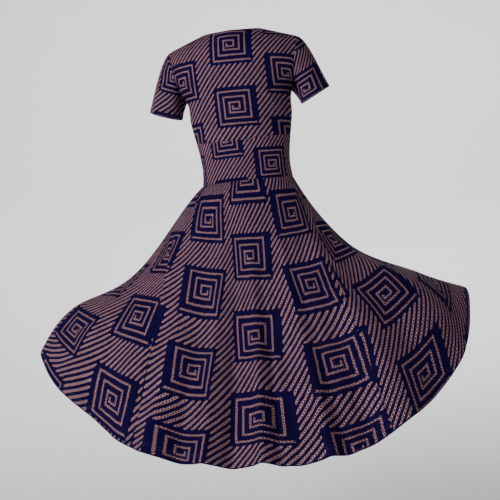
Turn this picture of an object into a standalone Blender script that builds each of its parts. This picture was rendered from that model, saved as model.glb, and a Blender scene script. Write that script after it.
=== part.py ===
"""Midi dress: fitted bodice, short set-in sleeves, midriff band and a wide flared skirt.

The dress is filled out with no wearer in it, and its skirt is spread to both sides. Metres, +Z up. The
origin lies between the two neck points, where the shoulders carry the dress. The wearer would face +Y, so
the back of the dress faces -Y and the wearer's left is at -X. Each cut piece is a closed cloth wall, and
neighbours are a seam's width apart.
"""

from functools import partial
from typing import NamedTuple

import bmesh
import bpy
import numpy as np

CLOTH = 0.002
SEAM = 0.0003
STEP = 1e-3
TURN_STEP = 0.5
SHARP_EDGE = np.radians(50)
NAVY_AND_ROSE = (0.053, 0.031, 0.061)

UNDERARM_Z = -0.178
MIDRIFF_Z = -0.297
WAIST_Z = -0.4125
SEAM_DIP = 0.008

SHOULDER_X, SHOULDER_Z = 0.176, -0.033
SHOULDER_ROUND = 0.10
BODICE_COLUMNS, LOWER_ROWS, UPPER_ROWS = 20, 5, 12
MIDRIFF_ROWS = 4
NECK_COLUMN = 3
NECK_X = SHOULDER_X * np.sin(np.pi * NECK_COLUMN / BODICE_COLUMNS)
NECK_RISE = 0.30
NECK_CURVE = 2.6
BACK_NECK_DROP, FRONT_NECK_DROP = 0.006, 0.095

SLEEVE_ROWS = 6
SLEEVE_HALF_DEPTH = 0.054
CUFF_LEAN = 0.009
CAP_SWELL = (0.085, -0.030)
UNDERARM_SWELL = (0.020, -0.030)
TOP_ARRIVE, UNDERARM_ARRIVE = 0.15, 0.05

BACK_COLUMNS, FRONT_COLUMNS, SKIRT_ROWS = 36, 64, 12
FLARE, FLARE_LEAN = 38.0, 14.0
FOLD_SWELL = 1.2
SIDE_SEAM_SWING, SIDE_SEAM_EASE = 33.0, 3

BACK, FRONT = -1, 1
LEFT, RIGHT = -1, 1


class Level(NamedTuple):
    """One height of the bodice and midriff."""

    height: float
    half_width: float
    back_depth: float
    front_depth: float


class Armhole(NamedTuple):
    """How far the bodice reaches to the side at one height of its armhole."""

    height: float
    reach: float


class Line(NamedTuple):
    """One line down the skirt: its degrees round the waist and at the hem, then three places on it."""

    around: float
    hem_around: float
    third_reach: float
    third_drop: float
    two_thirds_reach: float
    two_thirds_drop: float
    hem_reach: float
    hem_drop: float


class Fold(NamedTuple):
    """One soft fold that grows from `start` of the way down the skirt to the hem."""

    around: float
    height: float
    half_width: float
    start: float


class Cuff(NamedTuple):
    """The open end of one sleeve: its middle, half its width in the back view, and its tilt in degrees."""

    x: float
    z: float
    half_width: float
    tilt: float


TORSO = (
    Level(-0.430, 0.1290, 0.089, 0.094),
    Level(-0.4125, 0.1255, 0.087, 0.092),
    Level(-0.374, 0.1215, 0.086, 0.091),
    Level(-0.335, 0.1240, 0.089, 0.095),
    Level(-0.297, 0.1300, 0.094, 0.105),
    Level(-0.240, 0.1400, 0.101, 0.129),
    Level(-0.178, 0.1460, 0.106, 0.124),
    Level(-0.120, 0.1900, 0.107, 0.104),
    Level(-0.060, 0.2100, 0.104, 0.086),
    Level(0.000, 0.2250, 0.098, 0.074),
    Level(0.030, 0.2300, 0.094, 0.070),
)

ARMHOLE = (
    Armhole(-0.178, 0.1460),
    Armhole(-0.170, 0.1530),
    Armhole(-0.150, 0.1580),
    Armhole(-0.110, 0.1650),
    Armhole(-0.070, 0.1710),
    Armhole(-0.033, 0.1760),
    Armhole(0.030, 0.1760),
)

CUFFS = {
    RIGHT: Cuff(0.2100, -0.199, 0.0450, 26.0),
    LEFT: Cuff(0.2085, -0.206, 0.0470, 21.0),
}

SKIRT = (
    Line(-180, -180, 0.175, 0.235, 0.240, 0.475, 0.330, 0.700),
    Line(-150, -150, 0.200, 0.225, 0.285, 0.455, 0.390, 0.665),
    Line(-125, -122, 0.275, 0.197, 0.415, 0.362, 0.515, 0.545),
    Line(-105, -98, 0.358, 0.221, 0.568, 0.301, 0.664, 0.410),
    Line(-90, -78, 0.312, 0.200, 0.485, 0.340, 0.583, 0.490),
    Line(-70, -58, 0.260, 0.205, 0.385, 0.400, 0.465, 0.615),
    Line(-45, -36, 0.205, 0.225, 0.310, 0.452, 0.412, 0.681),
    Line(-20, -16, 0.170, 0.238, 0.255, 0.475, 0.360, 0.711),
    Line(0, 0, 0.160, 0.240, 0.240, 0.480, 0.350, 0.716),
    Line(20, 16, 0.165, 0.238, 0.250, 0.477, 0.370, 0.718),
    Line(45, 36, 0.190, 0.225, 0.305, 0.458, 0.420, 0.700),
    Line(70, 58, 0.225, 0.210, 0.385, 0.410, 0.496, 0.612),
    Line(90, 80, 0.255, 0.200, 0.445, 0.330, 0.546, 0.490),
    Line(108, 104, 0.260, 0.200, 0.435, 0.297, 0.570, 0.353),
    Line(125, 124, 0.240, 0.205, 0.370, 0.370, 0.490, 0.520),
    Line(150, 150, 0.195, 0.225, 0.285, 0.455, 0.390, 0.665),
)

FOLDS = (
    Fold(-150, 0.030, 11, 0.30),
    Fold(-122, 0.025, 9, 0.35),
    Fold(-60, 0.028, 10, 0.35),
    Fold(-46, 0.028, 8, 0.40),
    Fold(-25, 0.030, 9, 0.35),
    Fold(5, 0.030, 9, 0.20),
    Fold(36, 0.034, 9, 0.20),
    Fold(62, 0.028, 10, 0.30),
    Fold(122, 0.028, 9, 0.35),
    Fold(150, 0.030, 11, 0.30),
    Fold(180, 0.030, 11, 0.30),
)


def smooth(rows, column, at, period=0.0):
    """Value of one named column of a table, read smoothly between its rows by the table's first column."""
    knots = np.array([row[0] for row in rows], float)
    values = np.array([getattr(row, column) for row in rows], float)
    if period:
        at = knots[0] + np.mod(at - knots[0], period)
        knots = np.concatenate([knots - period, knots, knots + period])
        values = np.tile(values, 3)
    slopes = np.gradient(values, knots)
    at = np.asarray(at, float)
    low = np.clip(np.searchsorted(knots, at, side="right") - 1, 0, len(knots) - 2)
    span = knots[low + 1] - knots[low]
    along = (at - knots[low]) / span
    return hermite(values[low], values[low + 1], slopes[low] * span, slopes[low + 1] * span, along)


def hermite(start, end, leave, arrive, along):
    """Cubic curve from start to end that leaves and arrives with the given slopes."""
    square, cube = along**2, along**3
    return (
        (2 * cube - 3 * square + 1) * start
        + (cube - 2 * square + along) * leave
        + (3 * square - 2 * cube) * end
        + (cube - square) * arrive
    )


def unit(vectors):
    return vectors / np.linalg.norm(vectors, axis=-1, keepdims=True)


def point(x, y, z):
    return np.stack(np.broadcast_arrays(x, y, z), axis=-1)


def shoulder_line(across):
    """Height of the shoulder seam at a distance from the centre."""
    return SHOULDER_Z * (across - NECK_X) / (SHOULDER_X - NECK_X)


def torso(edge, height, side):
    """Point of the bodice or midriff. The edge runs from -1 to 1 across a panel."""
    half_width = smooth(TORSO, "half_width", height)
    depth = smooth(TORSO, "back_depth" if side == BACK else "front_depth", height)
    reach = np.minimum(smooth(ARMHOLE, "reach", height), half_width)
    x = edge * np.where(height <= UNDERARM_Z, half_width, reach)
    across = np.abs(edge) * SHOULDER_X
    ridge = np.where(across > NECK_X, shoulder_line(across), NECK_RISE * (NECK_X - across))
    below_ridge = np.clip((ridge - height) / SHOULDER_ROUND, 0, 1)
    closing = np.sqrt(1 - (1 - below_ridge) ** 2)
    round_waist = np.sqrt(np.clip(1 - (x / half_width) ** 2, 0, 1))
    return point(x, side * depth * round_waist * closing, height)


def top_edge(edge, side):
    """Height of the neckline and the shoulder seams along a bodice panel's top."""
    across = np.abs(edge) * SHOULDER_X
    drop = BACK_NECK_DROP if side == BACK else FRONT_NECK_DROP
    neck = -drop * (1 - np.minimum(across / NECK_X, 1) ** NECK_CURVE)
    return np.where(across > NECK_X, shoulder_line(across), neck)


def seam_height(edge, side):
    """Height of the seam under the bodice, which dips a little at the centre back."""
    dip = SEAM_DIP if side == BACK else 0.0
    return MIDRIFF_Z - dip * (1 - edge**2)


def closer_to_top(share):
    """Spaces an armhole's rows closer together towards the shoulder."""
    return 1 - (1 - share) ** 2


def bodice(u, v, side):
    edge = -side * np.sin(np.pi * (u - 0.5))
    row = v * (LOWER_ROWS + UPPER_ROWS)
    seam = seam_height(edge, side)
    lower = seam + (UNDERARM_Z - seam) * np.minimum(row / LOWER_ROWS, 1)
    rise = closer_to_top(np.maximum(row - LOWER_ROWS, 0) / UPPER_ROWS)
    return torso(edge, lower + (top_edge(edge, side) - UNDERARM_Z) * rise, side)


def midriff(u, v, side):
    edge = -side * np.sin(np.pi * (u - 0.5))
    return torso(edge, WAIST_Z + (seam_height(edge, side) - WAIST_Z) * v, side)


def sleeve(u, v, side):
    """Point of a sleeve, from its underarm seam round the back and the top, and from armhole to cuff."""
    cuff = CUFFS[side]
    around = side * 2 * np.pi * (u - 0.5)
    height = UNDERARM_Z + (SHOULDER_Z - UNDERARM_Z) * closer_to_top(1 - np.abs(around) / np.pi)
    at_back = (np.sin(around) >= 0)[..., None]
    start = np.where(at_back, torso(1.0, height, BACK), torso(1.0, height, FRONT))
    tilt = np.radians(cuff.tilt)
    ring_x = cuff.x + cuff.half_width * np.cos(tilt) * np.cos(around)
    ring_z = cuff.z + cuff.half_width * np.sin(tilt) * np.cos(around) - CUFF_LEAN * np.sin(around)
    end = point(ring_x, -SLEEVE_HALF_DEPTH * np.sin(around), ring_z)
    top = ((1 + np.cos(around)) / 2)[..., None]
    swell = np.array([CAP_SWELL[0], 0, CAP_SWELL[1]])
    tuck = np.array([UNDERARM_SWELL[0], 0, UNDERARM_SWELL[1]])
    leave = top * swell + (1 - top) * tuck
    fall = np.array([np.sin(tilt), 0, -np.cos(tilt)])
    arrive = fall * (UNDERARM_ARRIVE + (TOP_ARRIVE - UNDERARM_ARRIVE) * top)
    return hermite(start, end, leave, arrive, v[..., None]) * np.array([side, 1, 1])


def fold_height(around, down):
    """How far the folds lift the cloth off the skirt's plain bell."""
    height = 0.0
    for fold in FOLDS:
        off = np.mod(around - fold.around + 180, 360) - 180
        grown = np.clip((down - fold.start) / (1 - fold.start), 0, 1) ** FOLD_SWELL
        height = height + fold.height * grown * np.exp(-((off / fold.half_width) ** 2))
    return height


def swing_of(around):
    """Degrees that a line of the skirt turns between the waist and the hem."""
    swings = [(line.around, line.hem_around - line.around) for line in SKIRT]
    swings.append((SKIRT[0].around + 360, swings[0][1]))
    return np.interp(np.mod(around + 180, 360) - 180, *zip(*swings))


def bell(around, down):
    """Point of the skirt without its folds, `down` of the way from the waist to the hem."""
    read = partial(smooth, SKIRT, at=around, period=360)
    turn = np.radians(around)
    half_width = smooth(TORSO, "half_width", WAIST_Z)
    back, front = (smooth(TORSO, column, WAIST_Z) for column in ("back_depth", "front_depth"))
    depth = np.where(np.cos(turn) >= 0, back, front)
    knots = [point(half_width * np.sin(turn), -depth * np.cos(turn), WAIST_Z)]
    swing = swing_of(around)
    for number, place in enumerate(("third", "two_thirds", "hem"), start=1):
        heading = np.radians(around + swing * number / 3)
        reach, drop = read(f"{place}_reach"), read(f"{place}_drop")
        knots.append(point(reach * np.sin(heading), -reach * np.cos(heading), WAIST_Z - drop))
    flare = np.radians(FLARE - FLARE_LEAN * np.sin(turn))
    leave = point(np.sin(flare) * np.sin(turn), -np.sin(flare) * np.cos(turn), -np.cos(flare))
    slopes = [leave * np.linalg.norm(knots[1] - knots[0], axis=-1, keepdims=True)]
    slopes += [(knots[2] - knots[0]) / 2, (knots[3] - knots[1]) / 2]
    slopes.append(1.5 * (knots[3] - knots[2]) - 0.5 * slopes[2])
    stretch = np.clip(np.floor(3 * down), 0, 2).astype(int)[..., None]
    along = 3 * down[..., None] - stretch
    return hermite(
        np.choose(stretch, knots[:3]),
        np.choose(stretch, knots[1:]),
        np.choose(stretch, slopes[:3]),
        np.choose(stretch, slopes[1:]),
        along,
    )


def side_seam(down):
    """Degrees from the centre back to a side seam, which runs to the back below the waist."""
    return 90 - SIDE_SEAM_SWING * (1 - (1 - down) ** SIDE_SEAM_EASE)


def skirt(u, v, side):
    down = 1 - v
    centre, half = (0, side_seam(down)) if side == BACK else (180, 180 - side_seam(down))
    around, down = np.broadcast_arrays(centre + 2 * half * (u - 0.5), down)
    across = bell(around + TURN_STEP, down) - bell(around - TURN_STEP, down)
    along = bell(around, down - STEP) - bell(around, down + STEP)
    return bell(around, down) + unit(np.cross(across, along)) * fold_height(around, down)[..., None]


def slopes_of(form, u, v):
    """Unit directions along a form's columns and rows, measured inside its edges."""
    u_low, u_high = np.maximum(u - STEP, 0), np.minimum(u + STEP, 1)
    v_low, v_high = np.maximum(v - STEP, 0), np.minimum(v + STEP, 1)
    return unit(form(u_high, v) - form(u_low, v)), unit(form(u, v_high) - form(u, v_low))


def cloth_points(form, u, v):
    """Outer and inner points of a wall, its edges drawn in by half a seam."""
    across, along = slopes_of(form, u, v)
    outward = unit(np.cross(across, along))
    at_side = (u < STEP) * 1.0 - (u > 1 - STEP) * 1.0
    at_end = (v < STEP) * 1.0 - (v > 1 - STEP) * 1.0
    outer = form(u, v) + SEAM / 2 * (at_side[:, None] * across + at_end[:, None] * along)
    return outer, outer - CLOTH * outward


def wall(name, form, columns, rows, material):
    """Closed cloth wall over the surface form(u, v), with u and v from 0 to 1 and the outside facing out."""
    cloth = bmesh.new()
    bmesh.ops.create_grid(cloth, x_segments=columns, y_segments=rows, size=0.5)
    lining_side = cloth.verts[:]
    made = bmesh.ops.extrude_face_region(cloth, geom=cloth.faces[:], use_keep_orig=True)
    face_side = [item for item in made["geom"] if isinstance(item, bmesh.types.BMVert)]
    for verts, layer in ((face_side, 0), (lining_side, 1)):
        places = np.array([vert.co[:2] for vert in verts]) + 0.5
        for vert, place in zip(verts, cloth_points(form, places[:, 0], places[:, 1])[layer]):
            vert.co = place
    bmesh.ops.recalc_face_normals(cloth, faces=cloth.faces[:])
    mesh = bpy.data.meshes.new(name)
    cloth.to_mesh(mesh)
    cloth.free()
    mesh.shade_smooth()
    mesh.set_sharp_from_angle(angle=SHARP_EDGE)
    mesh.materials.append(material)
    piece = bpy.data.objects.new(name, mesh)
    bpy.context.collection.objects.link(piece)
    return piece


def cloth_material(name, colour, roughness):
    material = bpy.data.materials.new(name)
    material.use_nodes = True
    shader = material.node_tree.nodes["Principled BSDF"]
    shader.inputs["Base Color"].default_value = (*colour, 1.0)
    shader.inputs["Roughness"].default_value = roughness
    shader.inputs["Metallic"].default_value = 0.0
    return material


def clear_scene():
    for thing in list(bpy.data.objects):
        bpy.data.objects.remove(thing, do_unlink=True)


def main():
    clear_scene()
    printed = cloth_material("printed_jersey", NAVY_AND_ROSE, 0.85)
    for word, side in (("back", BACK), ("front", FRONT)):
        rows = LOWER_ROWS + UPPER_ROWS
        wall(f"bodice_{word}", partial(bodice, side=side), BODICE_COLUMNS, rows, printed)
        wall(f"midriff_{word}", partial(midriff, side=side), BODICE_COLUMNS, MIDRIFF_ROWS, printed)
        columns = BACK_COLUMNS if side == BACK else FRONT_COLUMNS
        wall(f"skirt_{word}", partial(skirt, side=side), columns, SKIRT_ROWS, printed)
    for word, side in (("left", LEFT), ("right", RIGHT)):
        wall(f"sleeve_{word}", partial(sleeve, side=side), 2 * UPPER_ROWS, SLEEVE_ROWS, printed)


main()
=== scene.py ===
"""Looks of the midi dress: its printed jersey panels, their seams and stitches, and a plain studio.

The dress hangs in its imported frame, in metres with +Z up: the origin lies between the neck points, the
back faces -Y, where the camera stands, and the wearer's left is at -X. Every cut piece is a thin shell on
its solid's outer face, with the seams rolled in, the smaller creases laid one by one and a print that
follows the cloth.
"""

from __future__ import annotations

import logging
import math
from dataclasses import dataclass
from enum import Enum
from typing import NamedTuple, Sequence

import bmesh
import bpy
import numpy as np
from mathutils import Matrix, Vector


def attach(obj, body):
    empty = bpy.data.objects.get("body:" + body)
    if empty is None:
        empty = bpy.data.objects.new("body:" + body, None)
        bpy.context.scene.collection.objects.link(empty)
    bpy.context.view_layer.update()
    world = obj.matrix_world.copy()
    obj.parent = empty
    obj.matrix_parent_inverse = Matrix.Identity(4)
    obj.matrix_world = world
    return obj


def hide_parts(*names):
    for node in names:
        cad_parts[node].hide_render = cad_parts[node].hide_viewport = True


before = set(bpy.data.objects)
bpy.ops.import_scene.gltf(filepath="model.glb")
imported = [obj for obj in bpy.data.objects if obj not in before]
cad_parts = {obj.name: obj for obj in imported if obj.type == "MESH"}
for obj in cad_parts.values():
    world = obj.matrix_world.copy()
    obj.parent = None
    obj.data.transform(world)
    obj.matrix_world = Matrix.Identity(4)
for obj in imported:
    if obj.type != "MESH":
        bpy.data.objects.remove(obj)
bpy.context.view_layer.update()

LOG = logging.getLogger("midi_dress")
Array = np.ndarray
BODY = "root"

CLOTH = 0.0012
STEP = 1e-3
TURN_STEP = 0.5
UNDERARM_Z = -0.178
MIDRIFF_Z = -0.297
WAIST_Z = -0.4125
SEAM_DIP = 0.008
SHOULDER_X, SHOULDER_Z = 0.176, -0.033
SHOULDER_ROUND = 0.10
NECK_X = SHOULDER_X * math.sin(math.pi * 3 / 20)
NECK_RISE, NECK_CURVE = 0.30, 2.6
BACK_NECK_DROP, FRONT_NECK_DROP = 0.006, 0.095

SEAM_ROLL, EDGE_ROLL, SEAM_REACH = 0.0009, 0.0003, 0.0022
PUCKER, PUCKER_PITCH, PUCKER_REACH = 0.00035, 0.0019, 0.010
CREASE_END, CREASE_SPREAD = 0.04, 1.3

# One repeat of the print on the bodice's cloth, and a length that reaches past any line or edge.
COLUMN_MM, ROW_MM = 154.0, 167.5
FAR_MM = 100.0


class Side(Enum):
    """The two faces of the dress, valued by the sign of Y."""

    BACK = -1
    FRONT = 1


class Arm(Enum):
    """The wearer's arms, valued by the sign of X."""

    LEFT = -1
    RIGHT = 1


class Level(NamedTuple):
    """One height of the bodice and midriff, in metres."""

    height: float
    half_width: float
    back_depth: float
    front_depth: float


class Armhole(NamedTuple):
    """How far the bodice reaches to the side at one height of its armhole."""

    height: float
    reach: float


class Line(NamedTuple):
    """One line down the skirt: its degrees round the waist and at the hem, then three places on it."""

    around: float
    hem_around: float
    third_reach: float
    third_drop: float
    two_thirds_reach: float
    two_thirds_drop: float
    hem_reach: float
    hem_drop: float


class Fold(NamedTuple):
    """One fold down the skirt, a ridge or, with a height below zero, a trough."""

    around: float
    height: float
    half_width: float
    start: float


class Cuff(NamedTuple):
    """The open end of a sleeve: its middle, half its width in the back view, and its tilt in degrees."""

    x: float
    z: float
    half_width: float
    tilt: float


class Wave(NamedTuple):
    """One wave of the puckers along a seam, against the main one."""

    height: float
    pace: float
    start: float


class Crease(NamedTuple):
    """One soft crease between two places on a flat piece, in metres from its centre line and lower edge."""

    x0: float
    y0: float
    x1: float
    y1: float
    width: float
    depth: float


class Sewn(NamedTuple):
    """Which edges of a piece are sewn to its neighbours. The others are open."""

    left: bool = True
    right: bool = True
    lower: bool = True
    upper: bool = True


class Cut(NamedTuple):
    """A piece's size on the dress and laid flat, in metres, and the steps of its grid."""

    width: float
    length: float
    flat: tuple[float, float]
    area: float
    columns: int
    rows: int


class PrintTurn(NamedTuple):
    """How many columns of the print lie between a skirt panel's centre and these degrees from it."""

    around: float
    columns: float


class PrintRow(NamedTuple):
    """How many rows of the print lie above this share of the way to the hem, and its blocks' size there.

    The size compares a block's width with the bodice's.
    """

    down: float
    rows: float
    size: float


TORSO = (
    Level(-0.430, 0.1290, 0.089, 0.094),
    Level(-0.4125, 0.1255, 0.087, 0.092),
    Level(-0.374, 0.1215, 0.086, 0.091),
    Level(-0.335, 0.1240, 0.089, 0.095),
    Level(-0.297, 0.1300, 0.094, 0.105),
    Level(-0.240, 0.1400, 0.101, 0.129),
    Level(-0.178, 0.1460, 0.106, 0.124),
    Level(-0.120, 0.1900, 0.107, 0.104),
    Level(-0.060, 0.2100, 0.104, 0.086),
    Level(0.000, 0.2250, 0.098, 0.074),
    Level(0.030, 0.2300, 0.094, 0.070),
)

ARMHOLE = (
    Armhole(-0.178, 0.1460),
    Armhole(-0.170, 0.1530),
    Armhole(-0.150, 0.1580),
    Armhole(-0.110, 0.1650),
    Armhole(-0.070, 0.1710),
    Armhole(-0.033, 0.1760),
    Armhole(0.030, 0.1760),
)

CUFFS = {Arm.RIGHT: Cuff(0.2100, -0.199, 0.0450, 26.0), Arm.LEFT: Cuff(0.2085, -0.206, 0.0470, 21.0)}

SKIRT = (
    Line(-180, -180, 0.175, 0.235, 0.240, 0.475, 0.330, 0.700),
    Line(-150, -150, 0.200, 0.225, 0.285, 0.455, 0.390, 0.665),
    Line(-125, -122, 0.275, 0.197, 0.415, 0.362, 0.515, 0.545),
    Line(-105, -98, 0.358, 0.221, 0.568, 0.301, 0.664, 0.410),
    Line(-90, -78, 0.312, 0.200, 0.485, 0.340, 0.583, 0.490),
    Line(-70, -58, 0.260, 0.205, 0.385, 0.400, 0.465, 0.615),
    Line(-45, -36, 0.205, 0.225, 0.310, 0.452, 0.412, 0.681),
    Line(-20, -16, 0.170, 0.238, 0.255, 0.475, 0.360, 0.711),
    Line(0, 0, 0.160, 0.240, 0.240, 0.480, 0.350, 0.716),
    Line(20, 16, 0.165, 0.238, 0.250, 0.477, 0.370, 0.718),
    Line(45, 36, 0.190, 0.225, 0.305, 0.458, 0.420, 0.700),
    Line(70, 58, 0.225, 0.210, 0.385, 0.410, 0.496, 0.612),
    Line(90, 80, 0.255, 0.200, 0.445, 0.330, 0.546, 0.490),
    Line(108, 104, 0.260, 0.200, 0.435, 0.297, 0.570, 0.353),
    Line(125, 124, 0.240, 0.205, 0.370, 0.370, 0.490, 0.520),
    Line(150, 150, 0.195, 0.225, 0.285, 0.455, 0.390, 0.665),
)

PUCKER_WAVES = (Wave(1.0, 1.0, 0.0), Wave(0.6, 1.73, 1.1))

FOLDS = (
    Fold(-150, 0.030, 11, 0.30),
    Fold(-122, 0.025, 9, 0.35),
    Fold(-60, 0.028, 10, 0.35),
    Fold(-46, 0.028, 8, 0.40),
    Fold(-25, 0.030, 9, 0.35),
    Fold(5, 0.030, 9, 0.20),
    Fold(36, 0.034, 9, 0.20),
    Fold(62, 0.028, 10, 0.30),
    Fold(122, 0.028, 9, 0.35),
    Fold(150, 0.030, 11, 0.30),
    Fold(180, 0.030, 11, 0.30),
)

SMALL_FOLDS = (
    Fold(-163, -0.007, 4.0, 0.15),
    Fold(-150, 0.006, 4.0, 0.20),
    Fold(-136, -0.008, 4.5, 0.20),
    Fold(-112, 0.006, 4.0, 0.40),
    Fold(-97, -0.007, 3.5, 0.25),
    Fold(-86, 0.006, 3.5, 0.20),
    Fold(-77, -0.013, 4.0, 0.20),
    Fold(-66, 0.007, 3.5, 0.20),
    Fold(-57, -0.010, 3.0, 0.25),
    Fold(-49, 0.013, 3.0, 0.10),
    Fold(-38, -0.014, 4.0, 0.10),
    Fold(-27, 0.014, 3.0, 0.12),
    Fold(-14, -0.014, 4.5, 0.05),
    Fold(3, 0.014, 3.5, 0.02),
    Fold(12, -0.011, 3.0, 0.15),
    Fold(21, -0.006, 4.0, 0.12),
    Fold(34, 0.015, 3.0, 0.05),
    Fold(41, -0.012, 3.0, 0.20),
    Fold(51, -0.009, 4.0, 0.08),
    Fold(62, 0.014, 3.5, 0.05),
    Fold(74, -0.010, 4.0, 0.15),
    Fold(86, 0.006, 3.5, 0.30),
    Fold(99, -0.006, 4.0, 0.20),
    Fold(114, 0.006, 3.5, 0.35),
    Fold(136, -0.008, 4.5, 0.20),
    Fold(151, 0.006, 4.0, 0.20),
    Fold(165, -0.007, 4.0, 0.10),
)

BACK_CREASES = (
    Crease(-0.150, 0.075, -0.060, 0.105, 0.012, 0.0016),
    Crease(0.160, 0.085, 0.075, 0.120, 0.013, 0.0018),
    Crease(0.155, 0.050, 0.080, 0.045, 0.011, 0.0012),
    Crease(-0.130, 0.020, -0.070, 0.030, 0.010, 0.0010),
)
FRONT_CREASES = (
    Crease(-0.165, 0.110, -0.090, 0.080, 0.013, 0.0016),
    Crease(0.165, 0.105, 0.085, 0.072, 0.012, 0.0018),
    Crease(-0.100, 0.020, -0.030, 0.035, 0.011, 0.0011),
    Crease(0.110, 0.025, 0.045, 0.030, 0.010, 0.0012),
)
MIDRIFF_CREASES = (
    Crease(-0.160, 0.045, -0.060, 0.055, 0.009, 0.0011),
    Crease(0.165, 0.060, 0.050, 0.050, 0.010, 0.0012),
    Crease(0.150, 0.030, 0.070, 0.036, 0.008, 0.0008),
)
SLEEVE_CREASES = (
    Crease(-0.080, 0.030, -0.030, 0.100, 0.011, 0.0016),
    Crease(0.085, 0.030, 0.040, 0.095, 0.011, 0.0016),
    Crease(-0.120, 0.020, -0.090, 0.060, 0.009, 0.0012),
)

BACK_PRINT = (
    PrintTurn(-90, -2.40),
    PrintTurn(-60, -1.60),
    PrintTurn(-37, -1.00),
    PrintTurn(1, 0.00),
    PrintTurn(45.5, 1.00),
    PrintTurn(61, 1.40),
    PrintTurn(90, 2.15),
)

FRONT_PRINT = (
    PrintTurn(-128, -4.75),
    PrintTurn(-108.5, -4.00),
    PrintTurn(-82, -3.00),
    PrintTurn(-57, -2.00),
    PrintTurn(-31, -1.00),
    PrintTurn(0, 0.00),
    PrintTurn(33, 1.00),
    PrintTurn(61, 2.00),
    PrintTurn(88, 3.00),
    PrintTurn(110, 4.00),
    PrintTurn(125, 4.65),
)

BACK_ROWS = (
    PrintRow(0.000, 0.04, 0.90),
    PrintRow(0.149, 0.50, 0.87),
    PrintRow(0.280, 1.00, 0.90),
    PrintRow(0.415, 1.50, 1.03),
    PrintRow(0.567, 2.00, 1.18),
    PrintRow(0.697, 2.50, 1.20),
    PrintRow(0.848, 3.00, 1.75),
    PrintRow(1.000, 3.62, 1.65),
)

FRONT_ROWS = (
    PrintRow(0.000, 0.00, 0.95),
    PrintRow(0.285, 1.00, 1.10),
    PrintRow(0.562, 2.00, 1.40),
    PrintRow(0.892, 3.00, 1.65),
    PrintRow(1.000, 3.33, 1.65),
)


def hermite(start: Array, end: Array, leave: Array, arrive: Array, along: Array) -> Array:
    """Cubic curve between two ends.

    Args:
        start: value where along is 0.
        end: value where along is 1.
        leave: slope at the start.
        arrive: slope at the end.
        along: share of the way, from 0 to 1.

    Returns:
        The values along the curve.
    """
    square, cube = along**2, along**3
    return (
        (2 * cube - 3 * square + 1) * start
        + (cube - 2 * square + along) * leave
        + (3 * square - 2 * cube) * end
        + (cube - square) * arrive
    )


def smooth(rows: Sequence[NamedTuple], column: str, at: Array | float, period: float = 0.0) -> Array:
    """Reads one named column of a table smoothly between its rows.

    Args:
        rows: the table, in rising order of its first column.
        column: name of the column to read.
        at: where to read it, on the first column.
        period: length after which the table repeats, or 0.

    Returns:
        The column's values there.
    """
    knots = np.array([row[0] for row in rows], float)
    values = np.array([getattr(row, column) for row in rows], float)
    if period:
        at = knots[0] + np.mod(at - knots[0], period)
        knots = np.concatenate([knots - period, knots, knots + period])
        values = np.tile(values, 3)
    slopes = np.gradient(values, knots)
    at = np.asarray(at, float)
    low = np.clip(np.searchsorted(knots, at, side="right") - 1, 0, len(knots) - 2)
    span = knots[low + 1] - knots[low]
    along = (at - knots[low]) / span
    return hermite(values[low], values[low + 1], slopes[low] * span, slopes[low + 1] * span, along)


def unit(vectors: Array) -> Array:
    """Vectors of the same directions, one long."""
    return vectors / np.maximum(np.linalg.norm(vectors, axis=-1, keepdims=True), 1e-12)


def point(x: Array | float, y: Array | float, z: Array | float) -> Array:
    """Points from their three coordinates."""
    return np.stack(np.broadcast_arrays(x, y, z), axis=-1)


def shoulder_line(across: Array) -> Array:
    """Height of the shoulder seam at a distance from the centre."""
    return SHOULDER_Z * (across - NECK_X) / (SHOULDER_X - NECK_X)


def torso(edge: Array | float, height: Array, side: Side) -> Array:
    """Points of the bodice and midriff.

    Args:
        edge: from -1 to 1 across a panel.
        height: Z in metres.
        side: the face that the panel is on.

    Returns:
        The points, in metres.
    """
    half_width = smooth(TORSO, "half_width", height)
    depth = smooth(TORSO, "back_depth" if side is Side.BACK else "front_depth", height)
    reach = np.minimum(smooth(ARMHOLE, "reach", height), half_width)
    x = edge * np.where(height <= UNDERARM_Z, half_width, reach)
    across = np.abs(edge) * SHOULDER_X
    ridge = np.where(across > NECK_X, shoulder_line(across), NECK_RISE * (NECK_X - across))
    below_ridge = np.clip((ridge - height) / SHOULDER_ROUND, 0, 1)
    closing = np.sqrt(1 - (1 - below_ridge) ** 2)
    round_waist = np.sqrt(np.clip(1 - (x / half_width) ** 2, 0, 1))
    return point(x, side.value * depth * round_waist * closing, height)


def seam_height(edge: Array, side: Side) -> Array:
    """Height of the seam under the bodice, which dips a little at the centre back."""
    dip = SEAM_DIP if side is Side.BACK else 0.0
    return MIDRIFF_Z - dip * (1 - edge**2)


def closer_to_top(share: Array) -> Array:
    """Spaces rows closer together towards the shoulder."""
    return 1 - (1 - share) ** 2


def crowded(count: int, length: float, near: tuple[float, ...] = (0.0012, 0.0028, 0.005)) -> Array:
    """Grid lines from 0 to 1 with a few set close to each end, where a seam rolls the cloth in.

    Args:
        count: number of steps between the lines.
        length: the way's length in metres.
        near: distances of the outermost lines from the end, in metres.

    Returns:
        The lines' places, count + 1 of them.
    """
    ends = np.array(near) / length
    middle = np.linspace(ends[-1], 1 - ends[-1], count + 1 - 2 * len(near))
    return np.concatenate([[0], ends[:-1], middle, 1 - ends[-2::-1], [1]])


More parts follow.
